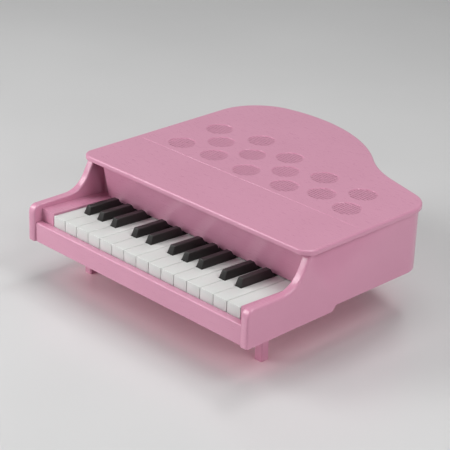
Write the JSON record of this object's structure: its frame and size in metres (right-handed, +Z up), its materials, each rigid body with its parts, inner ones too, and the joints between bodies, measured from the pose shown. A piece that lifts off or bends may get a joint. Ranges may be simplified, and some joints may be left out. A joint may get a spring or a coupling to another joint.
{
  "type": "toy piano",
  "caption": "Small toy grand piano with a moulded case, a curved lid with round grilles, short square legs, and playable keys that throw hammers at tone bars.",
  "frame": {"origin": "on the floor, midway between the lid's sides and between the cheeks' front and the tail", "axes": "+X to the player's right, +Y from the keys to the tail, +Z up"},
  "size_m": [0.355, 0.38, 0.1315],
  "materials": {
    "case_plastic": "semi-gloss",
    "white_plastic": "satin",
    "black_plastic": "satin",
    "hammer_plastic": "moulded",
    "frame_plastic": "moulded",
    "steel": "drawn",
    "bar_metal": "brushed",
    "felt": "felt"
  },
  "bodies": {
    "case": {"rim_case": "case_plastic", "lid": "case_plastic", "bottom_case": "case_plastic", "fallboard": "case_plastic", "legs": "case_plastic", "action_frame": "frame_plastic", "pivot_rods": "steel", "tone_bars": "bar_metal", "felt_strips": "felt", "screws": "steel"},
    "white_key_01": {"white_key_01": "white_plastic"},
    "hammer_01": {"hammer_01": "hammer_plastic"},
    "black_key_01": {"black_key_01": "black_plastic"},
    "hammer_02": {"hammer_02": "hammer_plastic"},
    "white_key_02": {"white_key_02": "white_plastic"},
    "hammer_03": {"hammer_03": "hammer_plastic"},
    "black_key_02": {"black_key_02": "black_plastic"},
    "hammer_04": {"hammer_04": "hammer_plastic"},
    "white_key_03": {"white_key_03": "white_plastic"},
    "hammer_05": {"hammer_05": "hammer_plastic"},
    "black_key_03": {"black_key_03": "black_plastic"},
    "hammer_06": {"hammer_06": "hammer_plastic"},
    "white_key_04": {"white_key_04": "white_plastic"},
    "hammer_07": {"hammer_07": "hammer_plastic"},
    "white_key_05": {"white_key_05": "white_plastic"},
    "hammer_08": {"hammer_08": "hammer_plastic"},
    "black_key_04": {"black_key_04": "black_plastic"},
    "hammer_09": {"hammer_09": "hammer_plastic"},
    "white_key_06": {"white_key_06": "white_plastic"},
    "hammer_10": {"hammer_10": "hammer_plastic"},
    "black_key_05": {"black_key_05": "black_plastic"},
    "hammer_11": {"hammer_11": "hammer_plastic"},
    "white_key_07": {"white_key_07": "white_plastic"},
    "hammer_12": {"hammer_12": "hammer_plastic"},
    "white_key_08": {"white_key_08": "white_plastic"},
    "hammer_13": {"hammer_13": "hammer_plastic"},
    "black_key_06": {"black_key_06": "black_plastic"},
    "hammer_14": {"hammer_14": "hammer_plastic"},
    "white_key_09": {"white_key_09": "white_plastic"},
    "hammer_15": {"hammer_15": "hammer_plastic"},
    "black_key_07": {"black_key_07": "black_plastic"},
    "hammer_16": {"hammer_16": "hammer_plastic"},
    "white_key_10": {"white_key_10": "white_plastic"},
    "hammer_17": {"hammer_17": "hammer_plastic"},
    "black_key_08": {"black_key_08": "black_plastic"},
    "hammer_18": {"hammer_18": "hammer_plastic"},
    "white_key_11": {"white_key_11": "white_plastic"},
    "hammer_19": {"hammer_19": "hammer_plastic"},
    "white_key_12": {"white_key_12": "white_plastic"},
    "hammer_20": {"hammer_20": "hammer_plastic"},
    "black_key_09": {"black_key_09": "black_plastic"},
    "hammer_21": {"hammer_21": "hammer_plastic"},
    "white_key_13": {"white_key_13": "white_plastic"},
    "hammer_22": {"hammer_22": "hammer_plastic"},
    "black_key_10": {"black_key_10": "black_plastic"},
    "hammer_23": {"hammer_23": "hammer_plastic"},
    "white_key_14": {"white_key_14": "white_plastic"},
    "hammer_24": {"hammer_24": "hammer_plastic"},
    "white_key_15": {"white_key_15": "white_plastic"},
    "hammer_25": {"hammer_25": "hammer_plastic"}
  },
  "joints": [
    {"name": "white_key_01_press", "type": "hinge", "parent": "case", "child": "white_key_01", "pos_m": [0, -0.095, 0.0755], "axis": [1, 0, 0], "range_deg": [0, 3.78]},
    {"name": "black_key_01_press", "type": "hinge", "parent": "case", "child": "black_key_01", "pos_m": [0, -0.095, 0.0755], "axis": [1, 0, 0], "range_deg": [0, 3.78]},
    {"name": "white_key_02_press", "type": "hinge", "parent": "case", "child": "white_key_02", "pos_m": [0, -0.095, 0.0755], "axis": [1, 0, 0], "range_deg": [0, 3.78]},
    {"name": "black_key_02_press", "type": "hinge", "parent": "case", "child": "black_key_02", "pos_m": [0, -0.095, 0.0755], "axis": [1, 0, 0], "range_deg": [0, 3.78]},
    {"name": "white_key_03_press", "type": "hinge", "parent": "case", "child": "white_key_03", "pos_m": [0, -0.095, 0.0755], "axis": [1, 0, 0], "range_deg": [0, 3.78]},
    {"name": "black_key_03_press", "type": "hinge", "parent": "case", "child": "black_key_03", "pos_m": [0, -0.095, 0.0755], "axis": [1, 0, 0], "range_deg": [0, 3.78]},
    {"name": "white_key_04_press", "type": "hinge", "parent": "case", "child": "white_key_04", "pos_m": [0, -0.095, 0.0755], "axis": [1, 0, 0], "range_deg": [0, 3.78]},
    {"name": "white_key_05_press", "type": "hinge", "parent": "case", "child": "white_key_05", "pos_m": [0, -0.095, 0.0755], "axis": [1, 0, 0], "range_deg": [0, 3.78]},
    {"name": "black_key_04_press", "type": "hinge", "parent": "case", "child": "black_key_04", "pos_m": [0, -0.095, 0.0755], "axis": [1, 0, 0], "range_deg": [0, 3.78]},
    {"name": "white_key_06_press", "type": "hinge", "parent": "case", "child": "white_key_06", "pos_m": [0, -0.095, 0.0755], "axis": [1, 0, 0], "range_deg": [0, 3.78]},
    {"name": "black_key_05_press", "type": "hinge", "parent": "case", "child": "black_key_05", "pos_m": [0, -0.095, 0.0755], "axis": [1, 0, 0], "range_deg": [0, 3.78]},
    {"name": "white_key_07_press", "type": "hinge", "parent": "case", "child": "white_key_07", "pos_m": [0, -0.095, 0.0755], "axis": [1, 0, 0], "range_deg": [0, 3.78]},
    {"name": "white_key_08_press", "type": "hinge", "parent": "case", "child": "white_key_08", "pos_m": [0, -0.095, 0.0755], "axis": [1, 0, 0], "range_deg": [0, 3.78]},
    {"name": "black_key_06_press", "type": "hinge", "parent": "case", "child": "black_key_06", "pos_m": [0, -0.095, 0.0755], "axis": [1, 0, 0], "range_deg": [0, 3.78]},
    {"name": "white_key_09_press", "type": "hinge", "parent": "case", "child": "white_key_09", "pos_m": [0, -0.095, 0.0755], "axis": [1, 0, 0], "range_deg": [0, 3.78]},
    {"name": "black_key_07_press", "type": "hinge", "parent": "case", "child": "black_key_07", "pos_m": [0, -0.095, 0.0755], "axis": [1, 0, 0], "range_deg": [0, 3.78]},
    {"name": "white_key_10_press", "type": "hinge", "parent": "case", "child": "white_key_10", "pos_m": [0, -0.095, 0.0755], "axis": [1, 0, 0], "range_deg": [0, 3.78]},
    {"name": "black_key_08_press", "type": "hinge", "parent": "case", "child": "black_key_08", "pos_m": [0, -0.095, 0.0755], "axis": [1, 0, 0], "range_deg": [0, 3.78]},
    {"name": "white_key_11_press", "type": "hinge", "parent": "case", "child": "white_key_11", "pos_m": [0, -0.095, 0.0755], "axis": [1, 0, 0], "range_deg": [0, 3.78]},
    {"name": "white_key_12_press", "type": "hinge", "parent": "case", "child": "white_key_12", "pos_m": [0, -0.095, 0.0755], "axis": [1, 0, 0], "range_deg": [0, 3.78]},
    {"name": "black_key_09_press", "type": "hinge", "parent": "case", "child": "black_key_09", "pos_m": [0, -0.095, 0.0755], "axis": [1, 0, 0], "range_deg": [0, 3.78]},
    {"name": "white_key_13_press", "type": "hinge", "parent": "case", "child": "white_key_13", "pos_m": [0, -0.095, 0.0755], "axis": [1, 0, 0], "range_deg": [0, 3.78]},
    {"name": "black_key_10_press", "type": "hinge", "parent": "case", "child": "black_key_10", "pos_m": [0, -0.095, 0.0755], "axis": [1, 0, 0], "range_deg": [0, 3.78]},
    {"name": "white_key_14_press", "type": "hinge", "parent": "case", "child": "white_key_14", "pos_m": [0, -0.095, 0.0755], "axis": [1, 0, 0], "range_deg": [0, 3.78]},
    {"name": "white_key_15_press", "type": "hinge", "parent": "case", "child": "white_key_15", "pos_m": [0, -0.095, 0.0755], "axis": [1, 0, 0], "range_deg": [0, 3.78]},
    {"name": "hammer_01_throw", "type": "hinge", "parent": "case", "child": "hammer_01", "pos_m": [0, -0.04, 0.088], "axis": [1, 0, 0], "range_deg": [-14.03, 0]},
    {"name": "hammer_02_throw", "type": "hinge", "parent": "case", "child": "hammer_02", "pos_m": [0, -0.04, 0.088], "axis": [1, 0, 0], "range_deg": [-14.03, 0]},
    {"name": "hammer_03_throw", "type": "hinge", "parent": "case", "child": "hammer_03", "pos_m": [0, -0.04, 0.088], "axis": [1, 0, 0], "range_deg": [-14.03, 0]},
    {"name": "hammer_04_throw", "type": "hinge", "parent": "case", "child": "hammer_04", "pos_m": [0, -0.04, 0.088], "axis": [1, 0, 0], "range_deg": [-14.03, 0]},
    {"name": "hammer_05_throw", "type": "hinge", "parent": "case", "child": "hammer_05", "pos_m": [0, -0.04, 0.088], "axis": [1, 0, 0], "range_deg": [-14.03, 0]},
    {"name": "hammer_06_throw", "type": "hinge", "parent": "case", "child": "hammer_06", "pos_m": [0, -0.04, 0.088], "axis": [1, 0, 0], "range_deg": [-14.03, 0]},
    {"name": "hammer_07_throw", "type": "hinge", "parent": "case", "child": "hammer_07", "pos_m": [0, -0.04, 0.088], "axis": [1, 0, 0], "range_deg": [-14.03, 0]},
    {"name": "hammer_08_throw", "type": "hinge", "parent": "case", "child": "hammer_08", "pos_m": [0, -0.04, 0.088], "axis": [1, 0, 0], "range_deg": [-14.03, 0]},
    {"name": "hammer_09_throw", "type": "hinge", "parent": "case", "child": "hammer_09", "pos_m": [0, -0.04, 0.088], "axis": [1, 0, 0], "range_deg": [-14.03, 0]},
    {"name": "hammer_10_throw", "type": "hinge", "parent": "case", "child": "hammer_10", "pos_m": [0, -0.04, 0.088], "axis": [1, 0, 0], "range_deg": [-14.03, 0]},
    {"name": "hammer_11_throw", "type": "hinge", "parent": "case", "child": "hammer_11", "pos_m": [0, -0.04, 0.088], "axis": [1, 0, 0], "range_deg": [-14.03, 0]},
    {"name": "hammer_12_throw", "type": "hinge", "parent": "case", "child": "hammer_12", "pos_m": [0, -0.04, 0.088], "axis": [1, 0, 0], "range_deg": [-14.03, 0]},
    {"name": "hammer_13_throw", "type": "hinge", "parent": "case", "child": "hammer_13", "pos_m": [0, -0.04, 0.088], "axis": [1, 0, 0], "range_deg": [-14.03, 0]},
    {"name": "hammer_14_throw", "type": "hinge", "parent": "case", "child": "hammer_14", "pos_m": [0, -0.04, 0.088], "axis": [1, 0, 0], "range_deg": [-14.03, 0]},
    {"name": "hammer_15_throw", "type": "hinge", "parent": "case", "child": "hammer_15", "pos_m": [0, -0.04, 0.088], "axis": [1, 0, 0], "range_deg": [-14.03, 0]},
    {"name": "hammer_16_throw", "type": "hinge", "parent": "case", "child": "hammer_16", "pos_m": [0, -0.04, 0.088], "axis": [1, 0, 0], "range_deg": [-14.03, 0]},
    {"name": "hammer_17_throw", "type": "hinge", "parent": "case", "child": "hammer_17", "pos_m": [0, -0.04, 0.088], "axis": [1, 0, 0], "range_deg": [-14.03, 0]},
    {"name": "hammer_18_throw", "type": "hinge", "parent": "case", "child": "hammer_18", "pos_m": [0, -0.04, 0.088], "axis": [1, 0, 0], "range_deg": [-14.03, 0]},
    {"name": "hammer_19_throw", "type": "hinge", "parent": "case", "child": "hammer_19", "pos_m": [0, -0.04, 0.088], "axis": [1, 0, 0], "range_deg": [-14.03, 0]},
    {"name": "hammer_20_throw", "type": "hinge", "parent": "case", "child": "hammer_20", "pos_m": [0, -0.04, 0.088], "axis": [1, 0, 0], "range_deg": [-14.03, 0]},
    {"name": "hammer_21_throw", "type": "hinge", "parent": "case", "child": "hammer_21", "pos_m": [0, -0.04, 0.088], "axis": [1, 0, 0], "range_deg": [-14.03, 0]},
    {"name": "hammer_22_throw", "type": "hinge", "parent": "case", "child": "hammer_22", "pos_m": [0, -0.04, 0.088], "axis": [1, 0, 0], "range_deg": [-14.03, 0]},
    {"name": "hammer_23_throw", "type": "hinge", "parent": "case", "child": "hammer_23", "pos_m": [0, -0.04, 0.088], "axis": [1, 0, 0], "range_deg": [-14.03, 0]},
    {"name": "hammer_24_throw", "type": "hinge", "parent": "case", "child": "hammer_24", "pos_m": [0, -0.04, 0.088], "axis": [1, 0, 0], "range_deg": [-14.03, 0]},
    {"name": "hammer_25_throw", "type": "hinge", "parent": "case", "child": "hammer_25", "pos_m": [0, -0.04, 0.088], "axis": [1, 0, 0], "range_deg": [-14.03, 0]}
  ],
  "couplings": [
    {"joint": "hammer_01_throw", "follows": "white_key_01_press", "ratio": -3.702},
    {"joint": "hammer_02_throw", "follows": "black_key_01_press", "ratio": -3.702},
    {"joint": "hammer_03_throw", "follows": "white_key_02_press", "ratio": -3.702},
    {"joint": "hammer_04_throw", "follows": "black_key_02_press", "ratio": -3.702},
    {"joint": "hammer_05_throw", "follows": "white_key_03_press", "ratio": -3.702},
    {"joint": "hammer_06_throw", "follows": "black_key_03_press", "ratio": -3.702},
    {"joint": "hammer_07_throw", "follows": "white_key_04_press", "ratio": -3.702},
    {"joint": "hammer_08_throw", "follows": "white_key_05_press", "ratio": -3.702},
    {"joint": "hammer_09_throw", "follows": "black_key_04_press", "ratio": -3.702},
    {"joint": "hammer_10_throw", "follows": "white_key_06_press", "ratio": -3.702},
    {"joint": "hammer_11_throw", "follows": "black_key_05_press", "ratio": -3.702},
    {"joint": "hammer_12_throw", "follows": "white_key_07_press", "ratio": -3.702},
    {"joint": "hammer_13_throw", "follows": "white_key_08_press", "ratio": -3.702},
    {"joint": "hammer_14_throw", "follows": "black_key_06_press", "ratio": -3.702},
    {"joint": "hammer_15_throw", "follows": "white_key_09_press", "ratio": -3.702},
    {"joint": "hammer_16_throw", "follows": "black_key_07_press", "ratio": -3.702},
    {"joint": "hammer_17_throw", "follows": "white_key_10_press", "ratio": -3.702},
    {"joint": "hammer_18_throw", "follows": "black_key_08_press", "ratio": -3.702},
    {"joint": "hammer_19_throw", "follows": "white_key_11_press", "ratio": -3.702},
    {"joint": "hammer_20_throw", "follows": "white_key_12_press", "ratio": -3.702},
    {"joint": "hammer_21_throw", "follows": "black_key_09_press", "ratio": -3.702},
    {"joint": "hammer_22_throw", "follows": "white_key_13_press", "ratio": -3.702},
    {"joint": "hammer_23_throw", "follows": "black_key_10_press", "ratio": -3.702},
    {"joint": "hammer_24_throw", "follows": "white_key_14_press", "ratio": -3.702},
    {"joint": "hammer_25_throw", "follows": "white_key_15_press", "ratio": -3.702}
  ]
}
